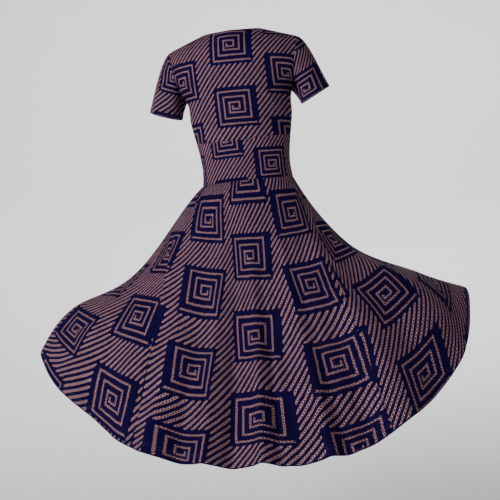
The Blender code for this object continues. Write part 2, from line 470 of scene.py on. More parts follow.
@dataclass
class ClothPiece:
    """One cut piece of jersey on its solid's outer face.

    Its grid runs over u across the piece and v up it, both from 0 to 1.
    """

    node: str
    cut: Cut
    sewn: Sewn = Sewn()
    creases: tuple[Crease, ...] = ()
    chart_origin: tuple[float, float] = (0.0, 0.0)
    chart_scale: tuple[float, float] = (1.0, 1.0)

    @property
    def name(self) -> str:
        """Name of the piece's object."""
        return f"{self.node}_cloth"

    def place(self, u: Array, v: Array) -> Array:
        """Points of the piece's plain surface."""
        raise NotImplementedError

    def block_fit(self, u: Array, v: Array, across: Array) -> Array:
        """How much narrower than the print's columns its blocks are drawn."""
        return np.ones_like(across)

    def chart(self, u: Array, v: Array, across: Array, along: Array) -> tuple[Array, Array]:
        """Place on the print, in columns and rows.

        Args:
            u: grid place across the piece.
            v: grid place up the piece.
            across: metres from the centre line.
            along: metres from the lower edge.

        Returns:
            Columns and rows of the print's repeat.
        """
        columns = across * 1000 / (COLUMN_MM * self.chart_scale[0]) - self.chart_origin[0]
        rows = along * 1000 / (ROW_MM * self.chart_scale[1]) - self.chart_origin[1]
        return columns, rows

    def row_at(self, v: float) -> tuple[Array, Array]:
        """The grid's places along one row."""
        return np.meshgrid(crowded(self.cut.columns, self.cut.width), [v])

    def normals(self, u: Array, v: Array) -> Array:
        """Outward directions of the plain surface."""
        u_low, u_high = np.maximum(u - STEP, 0), np.minimum(u + STEP, 1)
        v_low, v_high = np.maximum(v - STEP, 0), np.minimum(v + STEP, 1)
        across = unit(self.place(u_high, v) - self.place(u_low, v))
        along = unit(self.place(u, v_high) - self.place(u, v_low))
        return unit(np.cross(across, along))

    def lengths(self, points: Array) -> tuple[Array, Array]:
        """Metres across the piece from its centre line and up it from its lower edge.

        Args:
            points: the grid's points, as rows by columns by 3.

        Returns:
            Both distances for every point.
        """
        steps = np.linalg.norm(np.diff(points, axis=1), axis=-1)
        across = np.pad(np.cumsum(steps, axis=1), ((0, 0), (1, 0)))
        middle = across[:, points.shape[1] // 2][:, None]
        climbs = np.linalg.norm(np.diff(points, axis=0), axis=-1)
        along = np.pad(np.cumsum(climbs, axis=0), ((1, 0), (0, 0)))
        return across - middle, along

    def edge_gaps(self, across: Array, along: Array) -> tuple[Array, Array, Array, Array]:
        """Metres to the left, right, lower and upper edges."""
        return across - across[:, :1], across[:, -1:] - across, along, along[-1:] - along

    def open_gap(self, across: Array, along: Array) -> Array:
        """Metres to the nearest edge that isn't sewn to another piece."""
        gap = np.full_like(across, FAR_MM / 1000)
        for sewn, distance in zip(self.sewn, self.edge_gaps(across, along)):
            gap = gap if sewn else np.minimum(gap, distance)
        return gap

    def seam_roll(self, across: Array, along: Array) -> Array:
        """How far the sewn edges sink and pucker, below zero into the seam."""
        sunk = np.zeros_like(across)
        run = (along, along, across, across)
        for sewn, gap, way in zip(self.sewn, self.edge_gaps(across, along), run):
            depth = SEAM_ROLL if sewn else EDGE_ROLL
            sunk -= depth * np.exp(-((gap / SEAM_REACH) ** 2))
            if sewn:
                waves = sum(w.height * np.sin(way / PUCKER_PITCH * w.pace + w.start) for w in PUCKER_WAVES)
                sunk += PUCKER * waves * np.exp(-gap / PUCKER_REACH) * (1 - np.exp(-gap / SEAM_REACH))
        return sunk

    def crease_relief(self, across: Array, along: Array) -> Array:
        """Height of the listed creases, each a trough between two soft shoulders."""
        relief = np.zeros_like(across)
        for crease in self.creases:
            start, end = np.array([crease.x0, crease.y0]), np.array([crease.x1, crease.y1])
            way = end - start
            offset = np.stack([across, along], axis=-1) - start
            share = np.clip(offset @ way / (way @ way), 0, 1)
            gap = np.linalg.norm(offset - share[..., None] * way, axis=-1) / crease.width
            fade = np.sqrt(np.clip(np.sin(np.pi * (CREASE_END + (1 - 2 * CREASE_END) * share)), 0, 1))
            relief -= crease.depth * fade * (1 - gap**2) * np.exp(-(gap**2) / CREASE_SPREAD)
        return relief

    def build(self, cloth: Sequence[bpy.types.Material]) -> bpy.types.Object:
        """Makes the shell, lays the print on it and puts it in the frame.

        Args:
            cloth: materials of the printed face and of the inside.

        Returns:
            The piece's object.
        """
        cut = self.cut
        u, v = np.meshgrid(crowded(cut.columns, cut.width), crowded(cut.rows, cut.length))
        plain = self.place(u, v)
        across, along = self.lengths(plain)
        relief = self.seam_roll(across, along) + self.crease_relief(across, along)
        points = plain + self.normals(u, v) * relief[..., None]
        edge = (self.open_gap(across, along) * 1000, self.block_fit(u, v, across))
        shape = self.grid(points, {"chart": self.chart(u, v, across, along), "edge": edge})
        piece = finished_piece(self.name, shape, cloth)
        wall = piece.modifiers.new("cloth", "SOLIDIFY")
        wall.thickness, wall.offset = CLOTH, -1.0
        wall.use_even_offset = False
        wall.material_offset, wall.material_offset_rim = 1, 0
        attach(piece, BODY)
        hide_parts(self.node)
        return piece

    def grid(self, points: Array, maps: dict[str, tuple[Array, Array]]) -> bmesh.types.BMesh:
        """Makes a grid through the points.

        Args:
            points: the grid's points, as rows by columns by 3.
            maps: both values of each UV map at every point.

        Returns:
            The grid, with its UV maps.
        """
        shape, steps = bmesh.new(), (self.cut.columns, self.cut.rows)
        bmesh.ops.create_grid(shape, x_segments=steps[0], y_segments=steps[1], size=0.5)
        layers = [(shape.loops.layers.uv.new(name), values) for name, values in maps.items()]
        places = {vert: np.rint((np.array(vert.co[:2]) + 0.5) * steps).astype(int) for vert in shape.verts}
        for face in shape.faces:
            face.smooth = True
            for loop in face.loops:
                i, j = places[loop.vert]
                for layer, (first, second) in layers:
                    loop[layer].uv = (first[j, i], second[j, i])
        for vert, (i, j) in places.items():
            vert.co = points[j, i]
        return shape

    def declare(self, piece: bpy.types.Object, stitching: Sequence[bpy.types.Object]) -> None:
        """Takes the piece and its stitching and does nothing with them; the size it was cut to isn't stated.
        """


def finished_piece(
    name: str, shape: bmesh.types.BMesh, materials: Sequence[bpy.types.Material]
) -> bpy.types.Object:
    """Turns a bmesh into an object at the origin.

    Args:
        name: the object's name.
        shape: the bmesh, which is freed.
        materials: the object's materials, in slot order.

    Returns:
        The object, linked to the scene.
    """
    mesh = bpy.data.meshes.new(name)
    shape.to_mesh(mesh)
    shape.free()
    for material in materials:
        mesh.materials.append(material)
    piece = bpy.data.objects.new(name, mesh)
    bpy.context.scene.collection.objects.link(piece)
    return piece


@dataclass
class BodicePanel(ClothPiece):
    """The back or front of the bodice, from the midriff seam to the neck and shoulders."""

    sewn: Sewn = Sewn(upper=False)
    side: Side = Side.BACK
    lower_share: float = 0.42
    print_bow: float = 0.22
    print_tilt: float = 0.03
    first_spiral: float = -0.046
    slack_share: float = 0.4

    def neck_drop(self) -> float:
        """Depth of the neckline at the centre."""
        return BACK_NECK_DROP if self.side is Side.BACK else FRONT_NECK_DROP

    def top_edge(self, edge: Array) -> Array:
        """Height of the neckline and shoulder seams."""
        across = np.abs(edge) * SHOULDER_X
        neck = -self.neck_drop() * (1 - np.minimum(across / NECK_X, 1) ** NECK_CURVE)
        return np.where(across > NECK_X, shoulder_line(across), neck)

    def place(self, u: Array, v: Array) -> Array:
        """Points of the panel's plain surface."""
        edge = -self.side.value * np.sin(np.pi * (u - 0.5))
        seam = seam_height(edge, self.side)
        lower = seam + (UNDERARM_Z - seam) * np.minimum(v / self.lower_share, 1)
        rise = closer_to_top(np.maximum(v - self.lower_share, 0) / (1 - self.lower_share))
        return torso(edge, lower + (self.top_edge(edge) - UNDERARM_Z) * rise, self.side)

    def chart(self, u: Array, v: Array, across: Array, along: Array) -> tuple[Array, Array]:
        """Place on the print, whose columns stay upright and whose rows stay nearly level."""
        spot = self.place(u, v)
        bowed = self.print_bow * np.arcsin(spot[..., 0] / self.print_bow)
        climbed = spot[..., 2] - spot[:1, :, 2]
        level = spot[..., 2] - self.first_spiral + self.slack_share * (along - climbed)
        level = level + self.print_tilt * spot[..., 0]
        return -self.side.value * bowed * 1000 / COLUMN_MM, level * 1000 / ROW_MM

    def open_gap(self, across: Array, along: Array) -> Array:
        """Metres to the neckline, and far off below the shoulder seams."""
        neckline = np.abs(self.place(*self.row_at(1.0))[..., 0]) < NECK_X
        return np.where(neckline, along[-1:] - along, FAR_MM / 1000)


@dataclass
class MidriffPanel(ClothPiece):
    """The back or front of the shaped band between the bodice and the skirt."""

    creases: tuple[Crease, ...] = MIDRIFF_CREASES
    chart_origin: tuple[float, float] = (-0.325, 0.755)
    chart_scale: tuple[float, float] = (0.80, 0.90)
    side: Side = Side.BACK

    def place(self, u: Array, v: Array) -> Array:
        """Points of the band's plain surface."""
        edge = -self.side.value * np.sin(np.pi * (u - 0.5))
        return torso(edge, WAIST_Z + (seam_height(edge, self.side) - WAIST_Z) * v, self.side)


@dataclass
class Sleeve(ClothPiece):
    """A short set-in sleeve, from its underarm seam round the back and top, and from armhole to cuff."""

    sewn: Sewn = Sewn(upper=False)
    creases: tuple[Crease, ...] = SLEEVE_CREASES
    chart_scale: tuple[float, float] = (1.3, 0.91)
    arm: Arm = Arm.RIGHT
    half_depth: float = 0.054
    cuff_lean: float = 0.009
    cap_swell: tuple[float, float] = (0.085, -0.030)
    underarm_swell: tuple[float, float] = (0.020, -0.030)
    top_arrive: float = 0.15
    underarm_arrive: float = 0.05

    def place(self, u: Array, v: Array) -> Array:
        """Points of the sleeve's plain surface."""
        cuff, side = CUFFS[self.arm], self.arm.value
        around = side * 2 * np.pi * (u - 0.5)
        height = UNDERARM_Z + (SHOULDER_Z - UNDERARM_Z) * closer_to_top(1 - np.abs(around) / np.pi)
        at_back = (np.sin(around) >= 0)[..., None]
        start = np.where(at_back, torso(1.0, height, Side.BACK), torso(1.0, height, Side.FRONT))
        tilt = math.radians(cuff.tilt)
        ring_x = cuff.x + cuff.half_width * math.cos(tilt) * np.cos(around)
        ring_z = cuff.z + cuff.half_width * math.sin(tilt) * np.cos(around)
        ring_z = ring_z - self.cuff_lean * np.sin(around)
        end = point(ring_x, -self.half_depth * np.sin(around), ring_z)
        top = ((1 + np.cos(around)) / 2)[..., None]
        swell = point(self.cap_swell[0], 0, self.cap_swell[1])
        tuck = point(self.underarm_swell[0], 0, self.underarm_swell[1])
        leave = top * swell + (1 - top) * tuck
        fall = point(math.sin(tilt), 0, -math.cos(tilt))
        arrive = fall * (self.underarm_arrive + (self.top_arrive - self.underarm_arrive) * top)
        return hermite(start, end, leave, arrive, v[..., None]) * point(side, 1, 1)

    def chart(self, u: Array, v: Array, across: Array, along: Array) -> tuple[Array, Array]:
        """Place on the print, measured round the cuff and up from it."""
        return super().chart(u, v, (0.5 - u) * self.cut.width, along[-1:] - along)


def swing_of(around: Array) -> Array:
    """Degrees that a line of the skirt turns between the waist and the hem."""
    swings = [(line.around, line.hem_around - line.around) for line in SKIRT]
    swings.append((SKIRT[0].around + 360, swings[0][1]))
    return np.interp(np.mod(around + 180, 360) - 180, *zip(*swings))


def fold_height(folds: Sequence[Fold], around: Array, down: Array, swell: float) -> Array:
    """How far a table of folds lifts the cloth off the skirt's plain bell.

    Args:
        folds: the folds.
        around: degrees round the waist.
        down: share of the way from the waist to the hem.
        swell: power by which the folds grow towards the hem.

    Returns:
        Heights in metres.
    """
    height = np.zeros(np.broadcast(around, down).shape)
    for fold in folds:
        off = np.mod(around - fold.around + 180, 360) - 180
        grown = np.clip((down - fold.start) / (1 - fold.start), 0, 1) ** swell
        height = height + fold.height * grown * np.exp(-((off / fold.half_width) ** 2))
    return height


@dataclass
class SkirtPanel(ClothPiece):
    """The back or front of the flared skirt, from hem to waist."""

    sewn: Sewn = Sewn(lower=False)
    side: Side = Side.BACK
    flare: float = 38.0
    flare_lean: float = 14.0
    fold_swell: float = 1.2
    seam_swing: float = 33.0
    seam_ease: float = 3.0
    print_turns: tuple[PrintTurn, ...] = BACK_PRINT
    print_rows: tuple[PrintRow, ...] = BACK_ROWS
    print_swing: float = -0.11
    print_tilt: float = 0.03
    tilt_start: float = 0.12
    tilt_reach: float = 0.25
    fit_limits: tuple[float, float] = (0.84, 1.30)
    half_block: float = 0.36

    def turn(self, u: Array, v: Array) -> Array:
        """Degrees from the panel's centre, between side seams that run to the back below the waist."""
        seam = 90 - self.seam_swing * (1 - v**self.seam_ease)
        half = seam if self.side is Side.BACK else 180 - seam
        return 2 * half * (u - 0.5)

    def bell(self, around: Array, down: Array) -> Array:
        """Points of the skirt without its folds.

        Args:
            around: degrees round the waist, from the centre back.
            down: share of the way from the waist to the hem.

        Returns:
            The points, in metres.
        """
        turn = np.radians(around)
        half_width = smooth(TORSO, "half_width", WAIST_Z)
        back, front = (smooth(TORSO, column, WAIST_Z) for column in ("back_depth", "front_depth"))
        depth = np.where(np.cos(turn) >= 0, back, front)
        knots = [point(half_width * np.sin(turn), -depth * np.cos(turn), WAIST_Z)]
        swing = swing_of(around)
        for number, place in enumerate(("third", "two_thirds", "hem"), start=1):
            heading = np.radians(around + swing * number / 3)
            reach = smooth(SKIRT, f"{place}_reach", around, period=360)
            drop = smooth(SKIRT, f"{place}_drop", around, period=360)
            knots.append(point(reach * np.sin(heading), -reach * np.cos(heading), WAIST_Z - drop))
        flare = np.radians(self.flare - self.flare_lean * np.sin(turn))
        leave = point(np.sin(flare) * np.sin(turn), -np.sin(flare) * np.cos(turn), -np.cos(flare))
        slopes = [leave * np.linalg.norm(knots[1] - knots[0], axis=-1, keepdims=True)]
        slopes += [(knots[2] - knots[0]) / 2, (knots[3] - knots[1]) / 2]
        slopes.append(1.5 * (knots[3] - knots[2]) - 0.5 * slopes[2])
        stretch = np.clip(np.floor(3 * down), 0, 2).astype(int)[..., None]
        along = 3 * down[..., None] - stretch
        starts, ends = np.choose(stretch, knots[:3]), np.choose(stretch, knots[1:])
        return hermite(starts, ends, np.choose(stretch, slopes[:3]), np.choose(stretch, slopes[1:]), along)

    def place(self, u: Array, v: Array) -> Array:
        """Points of the panel with its folds."""
        centre = 0 if self.side is Side.BACK else 180
        around, down = np.broadcast_arrays(centre + self.turn(u, v), 1 - v)
        across = self.bell(around + TURN_STEP, down) - self.bell(around - TURN_STEP, down)
        along = self.bell(around, down - STEP) - self.bell(around, down + STEP)
        height = fold_height(FOLDS, around, down, self.fold_swell)
        height += fold_height(SMALL_FOLDS, around, down, 1.0)
        return self.bell(around, down) + unit(np.cross(across, along)) * height[..., None]

    def chart(self, u: Array, v: Array, across: Array, along: Array) -> tuple[Array, Array]:
        """Place on the print, whose columns fan out from the waist and swing a little on the right."""
        down = 1 - v
        tilt = self.print_tilt * np.clip((down - self.tilt_start) / self.tilt_reach, 0, 1)
        tilted = down + tilt * self.side.value * self.turn(u, v) / 90
        return self.fan(u, v), -smooth(self.print_rows, "rows", tilted)

    def fan(self, u: Array, v: Array) -> Array:
        """Columns of the print from the panel's centre."""
        turn = self.turn(u, v)
        swing = 1 + self.print_swing * v * (self.side.value * turn < 0)
        return smooth(self.print_turns, "columns", turn * swing)

    def block_fit(self, u: Array, v: Array, across: Array) -> Array:
        """How much narrower the blocks are than the columns, so that they keep their size on the cloth."""
        spacing = []
        for fan, run in zip(self.fan(u, v), across):
            middle = np.rint(fan)
            left = np.clip(middle - self.half_block, fan[0], fan[-1])
            right = np.clip(middle + self.half_block, fan[0], fan[-1])
            length = np.interp(right, fan, run) - np.interp(left, fan, run)
            spacing.append(length / np.maximum(right - left, STEP))
        return np.clip(np.array(spacing) * 1000 / (COLUMN_MM * self.block_size(u, v)), *self.fit_limits)

    def block_size(self, u: Array, v: Array) -> Array:
        """Width of the nearest block, compared with the bodice's. Odd columns lie half a row lower."""
        drop = 0.5 * np.mod(np.rint(self.fan(u, v)), 2)
        middle = np.rint(smooth(self.print_rows, "rows", 1 - v) - drop) + drop
        return np.interp(middle, *zip(*((row.rows, row.size) for row in self.print_rows)))


class Signal:
    """A number or vector that flows through a node tree, with plain arithmetic."""

    def __init__(self, tree: bpy.types.NodeTree, socket: bpy.types.NodeSocket) -> None:
        """Wraps an output socket of the tree."""
        self.tree = tree
        self.socket = socket

    def math(self, operation: str, *others: Signal | float) -> Signal:
        """Adds one math node.

        Args:
            operation: the node's operation.
            others: its further inputs.

        Returns:
            The node's result.
        """
        node = self.tree.nodes.new("ShaderNodeMath")
        node.operation = operation
        for socket, value in zip(node.inputs, (self, *others)):
            feed(self.tree, socket, value)
        return Signal(self.tree, node.outputs[0])

    def __add__(self, other: Signal | float) -> Signal:
        """Sum."""
        return self.math("ADD", other)

    def __sub__(self, other: Signal | float) -> Signal:
        """Difference."""
        return self.math("SUBTRACT", other)

    def __mul__(self, other: Signal | float) -> Signal:
        """Product."""
        return self.math("MULTIPLY", other)

    def __truediv__(self, other: Signal | float) -> Signal:
        """Quotient."""
        return self.math("DIVIDE", other)

    def __neg__(self) -> Signal:
        """The number with its sign turned."""
        return self.math("MULTIPLY", -1.0)

    def most(self, other: Signal | float) -> Signal:
        """The larger of two."""
        return self.math("MAXIMUM", other)

    def least(self, other: Signal | float) -> Signal:
        """The smaller of two."""
        return self.math("MINIMUM", other)

    def over(self, limit: Signal | float) -> Signal:
        """1 where the number is over the limit, else 0."""
        return self.math("GREATER_THAN", limit)

    def size(self) -> Signal:
        """The number without its sign."""
        return self.math("ABSOLUTE")

    def nearest(self) -> Signal:
        """The nearest whole number."""
        return self.math("ROUND")

    def part(self) -> Signal:
        """What is left over the whole number below."""
        return self.math("FRACT")

    def hypot(self, other: Signal) -> Signal:
        """Length of the diagonal over two sides."""
        return (self * self + other * other).math("SQRT")

    def ramp(self, low: float, high: float, start: float = 0.0, end: float = 1.0) -> Signal:
        """Smooth step from start to end as the number goes from low to high."""
        node = self.tree.nodes.new("ShaderNodeMapRange")
        node.interpolation_type = "SMOOTHSTEP"
        feed(self.tree, node.inputs["Value"], self)
        for name, value in (("From Min", low), ("From Max", high), ("To Min", start), ("To Max", end)):
            node.inputs[name].default_value = value
        return Signal(self.tree, node.outputs["Result"])

    def between(self, first: Signal, second: Signal) -> Signal:
        """First where the number is 0 and second where it is 1."""
        return first + (second - first) * self


def feed(tree: bpy.types.NodeTree, socket: bpy.types.NodeSocket, value: Signal | float) -> None:
    """Links a signal to a socket, or sets the socket's own value."""
    if isinstance(value, Signal):
        tree.links.new(value.socket, socket)
    else:
        socket.default_value = value


def new_material(name: str) -> tuple[bpy.types.Material, bpy.types.NodeTree, bpy.types.Node]:
    """Starts a material, and gives it with its tree and its shader."""
    material = bpy.data.materials.new(name)
    material.use_nodes = True
    return material, material.node_tree, material.node_tree.nodes["Principled BSDF"]


def bumped(shader: bpy.types.Node, height: Signal, strength: float, distance: float) -> None:
    """Raises a shader's surface by a height, through a Bump node."""
    bump = height.tree.nodes.new("ShaderNodeBump")
    bump.inputs["Strength"].default_value = strength
    bump.inputs["Distance"].default_value = distance
    feed(height.tree, bump.inputs["Height"], height)
    height.tree.links.new(bump.outputs["Normal"], shader.inputs["Normal"])


def uv_map(tree: bpy.types.NodeTree, name: str) -> Signal:
    """One of the piece's own UV maps."""
    node = tree.nodes.new("ShaderNodeUVMap")
    node.uv_map = name
    return Signal(tree, node.outputs["UV"])


def parts_of(vector: Signal) -> tuple[Signal, Signal]:
    """The first two numbers of a vector."""
    node = vector.tree.nodes.new("ShaderNodeSeparateXYZ")
    feed(vector.tree, node.inputs[0], vector)
    return Signal(vector.tree, node.outputs[0]), Signal(vector.tree, node.outputs[1])


def vector_of(tree: bpy.types.NodeTree, x: Signal, y: Signal) -> Signal:
    """A vector from two numbers."""
    node = tree.nodes.new("ShaderNodeCombineXYZ")
    feed(tree, node.inputs[0], x)
    feed(tree, node.inputs[1], y)
    return Signal(tree, node.outputs[0])


def noise(tree: bpy.types.NodeTree, where: Signal, scale: float, detail: float = 2.0) -> Signal:
    """Soft noise around a half, read in two dimensions."""
    node = tree.nodes.new("ShaderNodeTexNoise")
    node.noise_dimensions = "2D"
    feed(tree, node.inputs["Vector"], where)
    node.inputs["Scale"].default_value = scale
    node.inputs["Detail"].default_value = detail
    return Signal(tree, node.outputs["Fac"])


def solid_noise(tree: bpy.types.NodeTree, scale: float) -> Signal:
    """Soft noise around a half, read through the whole piece."""
    place, cloud = tree.nodes.new("ShaderNodeTexCoord"), tree.nodes.new("ShaderNodeTexNoise")
    cloud.inputs["Scale"].default_value = scale
    tree.links.new(place.outputs["Object"], cloud.inputs["Vector"])
    return Signal(tree, cloud.outputs["Fac"])


class ShaderGroup:
    """A node group with named inputs and outputs, built once and placed in several materials."""

    name = ""
    inputs: tuple[tuple[str, str], ...] = ()
    outputs: tuple[tuple[str, str], ...] = ()

    def __init__(self) -> None:
        """Makes the group's tree and its sockets."""
        self.tree = bpy.data.node_groups.new(self.name, "ShaderNodeTree")
        for in_out, sockets in (("INPUT", self.inputs), ("OUTPUT", self.outputs)):
            for label, kind in sockets:
                self.tree.interface.new_socket(label, in_out=in_out, socket_type=kind)
        self.entry = self.tree.nodes.new("NodeGroupInput")
        self.exit = self.tree.nodes.new("NodeGroupOutput")
        self.wire()

    def given(self, label: str) -> Signal:
        """One of the group's inputs."""
        return Signal(self.tree, self.entry.outputs[label])

    def give(self, label: str, value: Signal) -> None:
        """Sets one of the group's outputs."""
        feed(self.tree, self.exit.inputs[label], value)

    def wire(self) -> None:
        """Fills the group's tree."""
        raise NotImplementedError

    def put(self, tree: bpy.types.NodeTree) -> bpy.types.Node:
        """Places the group in a material's tree."""
        node = tree.nodes.new("ShaderNodeGroup")
        node.node_tree = self.tree
        return node


class SpiralPrint(ShaderGroup):
    """Plain repeat of square spirals in dark blocks over slanting stripes.

    The chart counts columns and rows. Every second column drops half a row and is mirrored. A fit over 1
    draws the blocks narrower than their columns. Lengths are in millimetres of the bodice's cloth.
    """

    name = "spiral_print"
    inputs = (("Chart", "NodeSocketVector"), ("Wobble", "NodeSocketFloat"), ("Fit", "NodeSocketFloat"))
    outputs = (("Line", "NodeSocketFloat"), ("Bead", "NodeSocketFloat"), ("Cloth", "NodeSocketVector"))

    pitch = 14.5
    turns = 3.0
    low_start, right_start, top_start = 0.25, 0.86, 0.62
    hook_left, hook_right, hook_low, hook_high = -0.40, 0.86, -0.59, -0.10
    tail = 54.0
    spiral_half, stripe_half = 1.8, 2.15
    block_left, block_right, block_low, block_high = -52.5, 59.0, -54.5, 48.0
    stripe_pitch = 10.8
    stripe_angle = math.radians(48)
    clear = 2.2
    scallop = 0.4
    bead_pitch, bead_core, bead_rim = 5.4, 1.35, 2.1
    zigzag, zigzag_pitch = 0.45, 8.0
    shake_scale, shake_apart = 0.11, (531.0, -217.0)
    soft = 0.4
    high_from, low_from = -0.4, 0.5
    far_turns = 50.0

    def spiral(self, x: Signal, y: Signal) -> tuple[Signal, Signal]:
        """Square spiral with a small hook in its middle and a tail at the lower right.

        Args:
            x: millimetres across from the block's centre.
            y: millimetres up from it.

        Returns:
            Distance from the spiral's line, and place along it.
        """
        above = y.over(0.0)
        left = -(x / self.pitch)
        bottom = -(y / self.pitch) - self.low_start
        right = x / self.pitch - self.right_start
        top = y / self.pitch - self.top_start
        low_left = left - above * self.far_turns
        high_left = left - (self.far_turns + 1) + above * self.far_turns
        low = bottom.most(low_left)
        high = right.most(top).most(high_left)
        turn = low.most(high)
        upright = right.most(left - above).over(bottom.most(top))
        lower_half = low.over(high)
        begin = lower_half * (self.low_from - self.high_from) + self.high_from
        drawn = (lower_half + (self.turns - 0.5)).over(turn) * turn.over(begin)
        gap = (turn - turn.nearest()).size() * self.pitch + (drawn * -FAR_MM + FAR_MM)
        past_tail = (x - self.tail).most(-x - self.turns * self.pitch).most(0.0)
        tail_gap = past_tail.hypot(y + (self.turns + self.low_start) * self.pitch)
        middle, half = (self.hook_right + self.hook_left) / 2, (self.hook_right - self.hook_left) / 2
        beside = (x - middle * self.pitch).size() - half * self.pitch
        below, past = -y + self.hook_low * self.pitch, y - self.hook_high * self.pitch
        hook_gap = beside.most(below).hypot(past.most(0.0))
        return gap.least(tail_gap).least(hook_gap), upright.between(x, y)

    def bent(self, way: Signal, run: Signal) -> Signal:
        """A coordinate with a small zigzag in it along the other."""
        steps = ((run / self.zigzag_pitch).part() - 0.5).size() * 4.0 - 1.0
        return way + steps * self.zigzag

    def wire(self) -> None:
        """Draws the spirals, the stripes and the beads along both."""
        plain_u, plain_v = parts_of(self.given("Chart"))
        across, up = plain_u * COLUMN_MM, plain_v * ROW_MM
        flat = vector_of(self.tree, across, up)
        far = vector_of(self.tree, across + self.shake_apart[0], up + self.shake_apart[1])
        shake = self.given("Wobble")
        u = plain_u + (noise(self.tree, flat, self.shake_scale) - 0.5) * shake / COLUMN_MM
        v = plain_v + (noise(self.tree, far, self.shake_scale) - 0.5) * shake / ROW_MM

        column = u.nearest()
        odd = (column.size() * 0.5).part() * 2.0
        dropped = v + odd * 0.5
        x = (u - column) * self.given("Fit") * COLUMN_MM * (odd * -2.0 + 1.0)
        y = (dropped - dropped.nearest()) * ROW_MM
        bent = (self.bent(x, y), self.bent(y, x))
        gap, spiral_run = self.spiral(*bent)

        beside = (x - self.block_right).most(-x + self.block_left)
        outside = beside.most((y - self.block_high).most(-y + self.block_low))
        wide, tall = u * COLUMN_MM, v * ROW_MM
        cos, sin = math.cos(self.stripe_angle), math.sin(self.stripe_angle)
        offset = (((wide * sin - tall * cos) / self.stripe_pitch).part() - 0.5).size() * self.stripe_pitch
        stripe_run = wide * cos + tall * sin
        short = (-outside + (self.stripe_half + self.clear)).most(0.0)
        stripe_gap = offset.hypot(short)

        in_block = (-outside).over(0.0)
        nearest = in_block.between(stripe_gap, gap)
        run = in_block.between(stripe_run, spiral_run) / self.bead_pitch
        half = in_block * (self.spiral_half - self.stripe_half) + self.stripe_half
        swell = (run * (2 * math.pi)).math("COSINE") * self.scallop
        line = (half + swell - nearest).ramp(-self.soft, self.soft)
        centre = ((run + 0.5).part() - 0.5) * self.bead_pitch
        bead = nearest.hypot(centre).ramp(self.bead_core, self.bead_rim, 1.0, 0.0)
        self.give("Line", line)
        self.give("Bead", bead * line)
        self.give("Cloth", flat)


class JerseyKnit(ShaderGroup):
    """Fine knit of the jersey: upright ribs of small loops, and slow unevenness of the dye."""

    name = "jersey_knit"
    inputs = (("Cloth", "NodeSocketVector"),)
    outputs = (("Height", "NodeSocketFloat"), ("Shade", "NodeSocketFloat"))

    rib_pitch, loop_pitch = 1.5, 1.1
    rib_height, loop_height, fuzz_height = 0.55, 0.3, 0.35
    fuzz_scale, fuzz_shade = 1.7, 0.35
    cloud_scale, cloud_shade = 0.018, 0.5

    def wire(self) -> None:
        """Makes the ribs, the loops across them and the unevenness."""
        cloth = self.given("Cloth")
        x, y = parts_of(cloth)
        rib = (x * (math.pi / self.rib_pitch)).math("SINE").size()
        lean = rib * (0.5 * self.loop_pitch)
        loop = ((y + lean) * (2 * math.pi / self.loop_pitch)).math("COSINE") * 0.5 + 0.5
        fuzz, cloudy = (noise(self.tree, cloth, scale, 3.0) for scale in (self.fuzz_scale, self.cloud_scale))
        self.give("Height", rib * self.rib_height + loop * self.loop_height + fuzz * self.fuzz_height)
        self.give("Shade", (cloudy - 0.5) * self.cloud_shade + (fuzz - 0.5) * self.fuzz_shade + 1.0)


@dataclass(frozen=True)
class PrintedJersey:
    """Finish of one face of the cloth: dyed ground, printed lines and knit, with painted shade along the
    open edges.
    """

    name: str
    ground: tuple[float, float, float]
    ink: tuple[float, float, float]
    bead: tuple[float, float, float]
    strength: float = 1.0
    roughness: float = 0.86
    loop_gloss: float = 0.08
    gloss: float = 0.02
    wobble: float = 2.6
    # Millimetres from an open edge over which the ink fades in: painted shade of the edge rolling inward,
    # drawn as a dark band of bare ground.
    edge_shade_start: float = 2.6
    edge_shade_end: float = 4.0
    relief: float = 0.0004
    relief_strength: float = 0.5
    loop_share: float = 0.6
    ink_share: float = 0.6
    bead_share: float = 0.3

    def make(self, printing: SpiralPrint, knit: JerseyKnit) -> bpy.types.Material:
        """Builds the material.

        Args:
            printing: the print's group.
            knit: the knit's group.

        Returns:
            The material.
        """
        material, tree, shader = new_material(self.name)
        drawn, knitted = printing.put(tree), knit.put(tree)
        to_edge, fit = parts_of(uv_map(tree, "edge"))
        for label, value in (("Chart", uv_map(tree, "chart")), ("Fit", fit), ("Wobble", self.wobble)):
            feed(tree, drawn.inputs[label], value)
        tree.links.new(drawn.outputs["Cloth"], knitted.inputs["Cloth"])
        # Painted shade along the open edges, where the cloth rolls inward: the ink fades out near them and
        # leaves the dark ground.
        printed = to_edge.ramp(self.edge_shade_start, self.edge_shade_end, 0.0, self.strength)
        line, beads = (Signal(tree, drawn.outputs[label]) * printed for label in ("Line", "Bead"))
        loops, shade = (Signal(tree, knitted.outputs[label]) for label in ("Height", "Shade"))

        dotted = mixed(tree, beads, mixed(tree, line, self.ground, self.ink), self.bead)
        tree.links.new(mixed(tree, 1.0, dotted, shade, "MULTIPLY"), shader.inputs["Base Color"])
        height = loops * self.loop_share + line * self.ink_share - beads * self.bead_share
        bumped(shader, height, self.relief_strength, self.relief)
        rough = loops * -self.loop_gloss + (self.roughness + self.loop_gloss / 2)
        feed(tree, shader.inputs["Roughness"], rough)
        shader.inputs["Specular IOR Level"].default_value = self.gloss
        return material


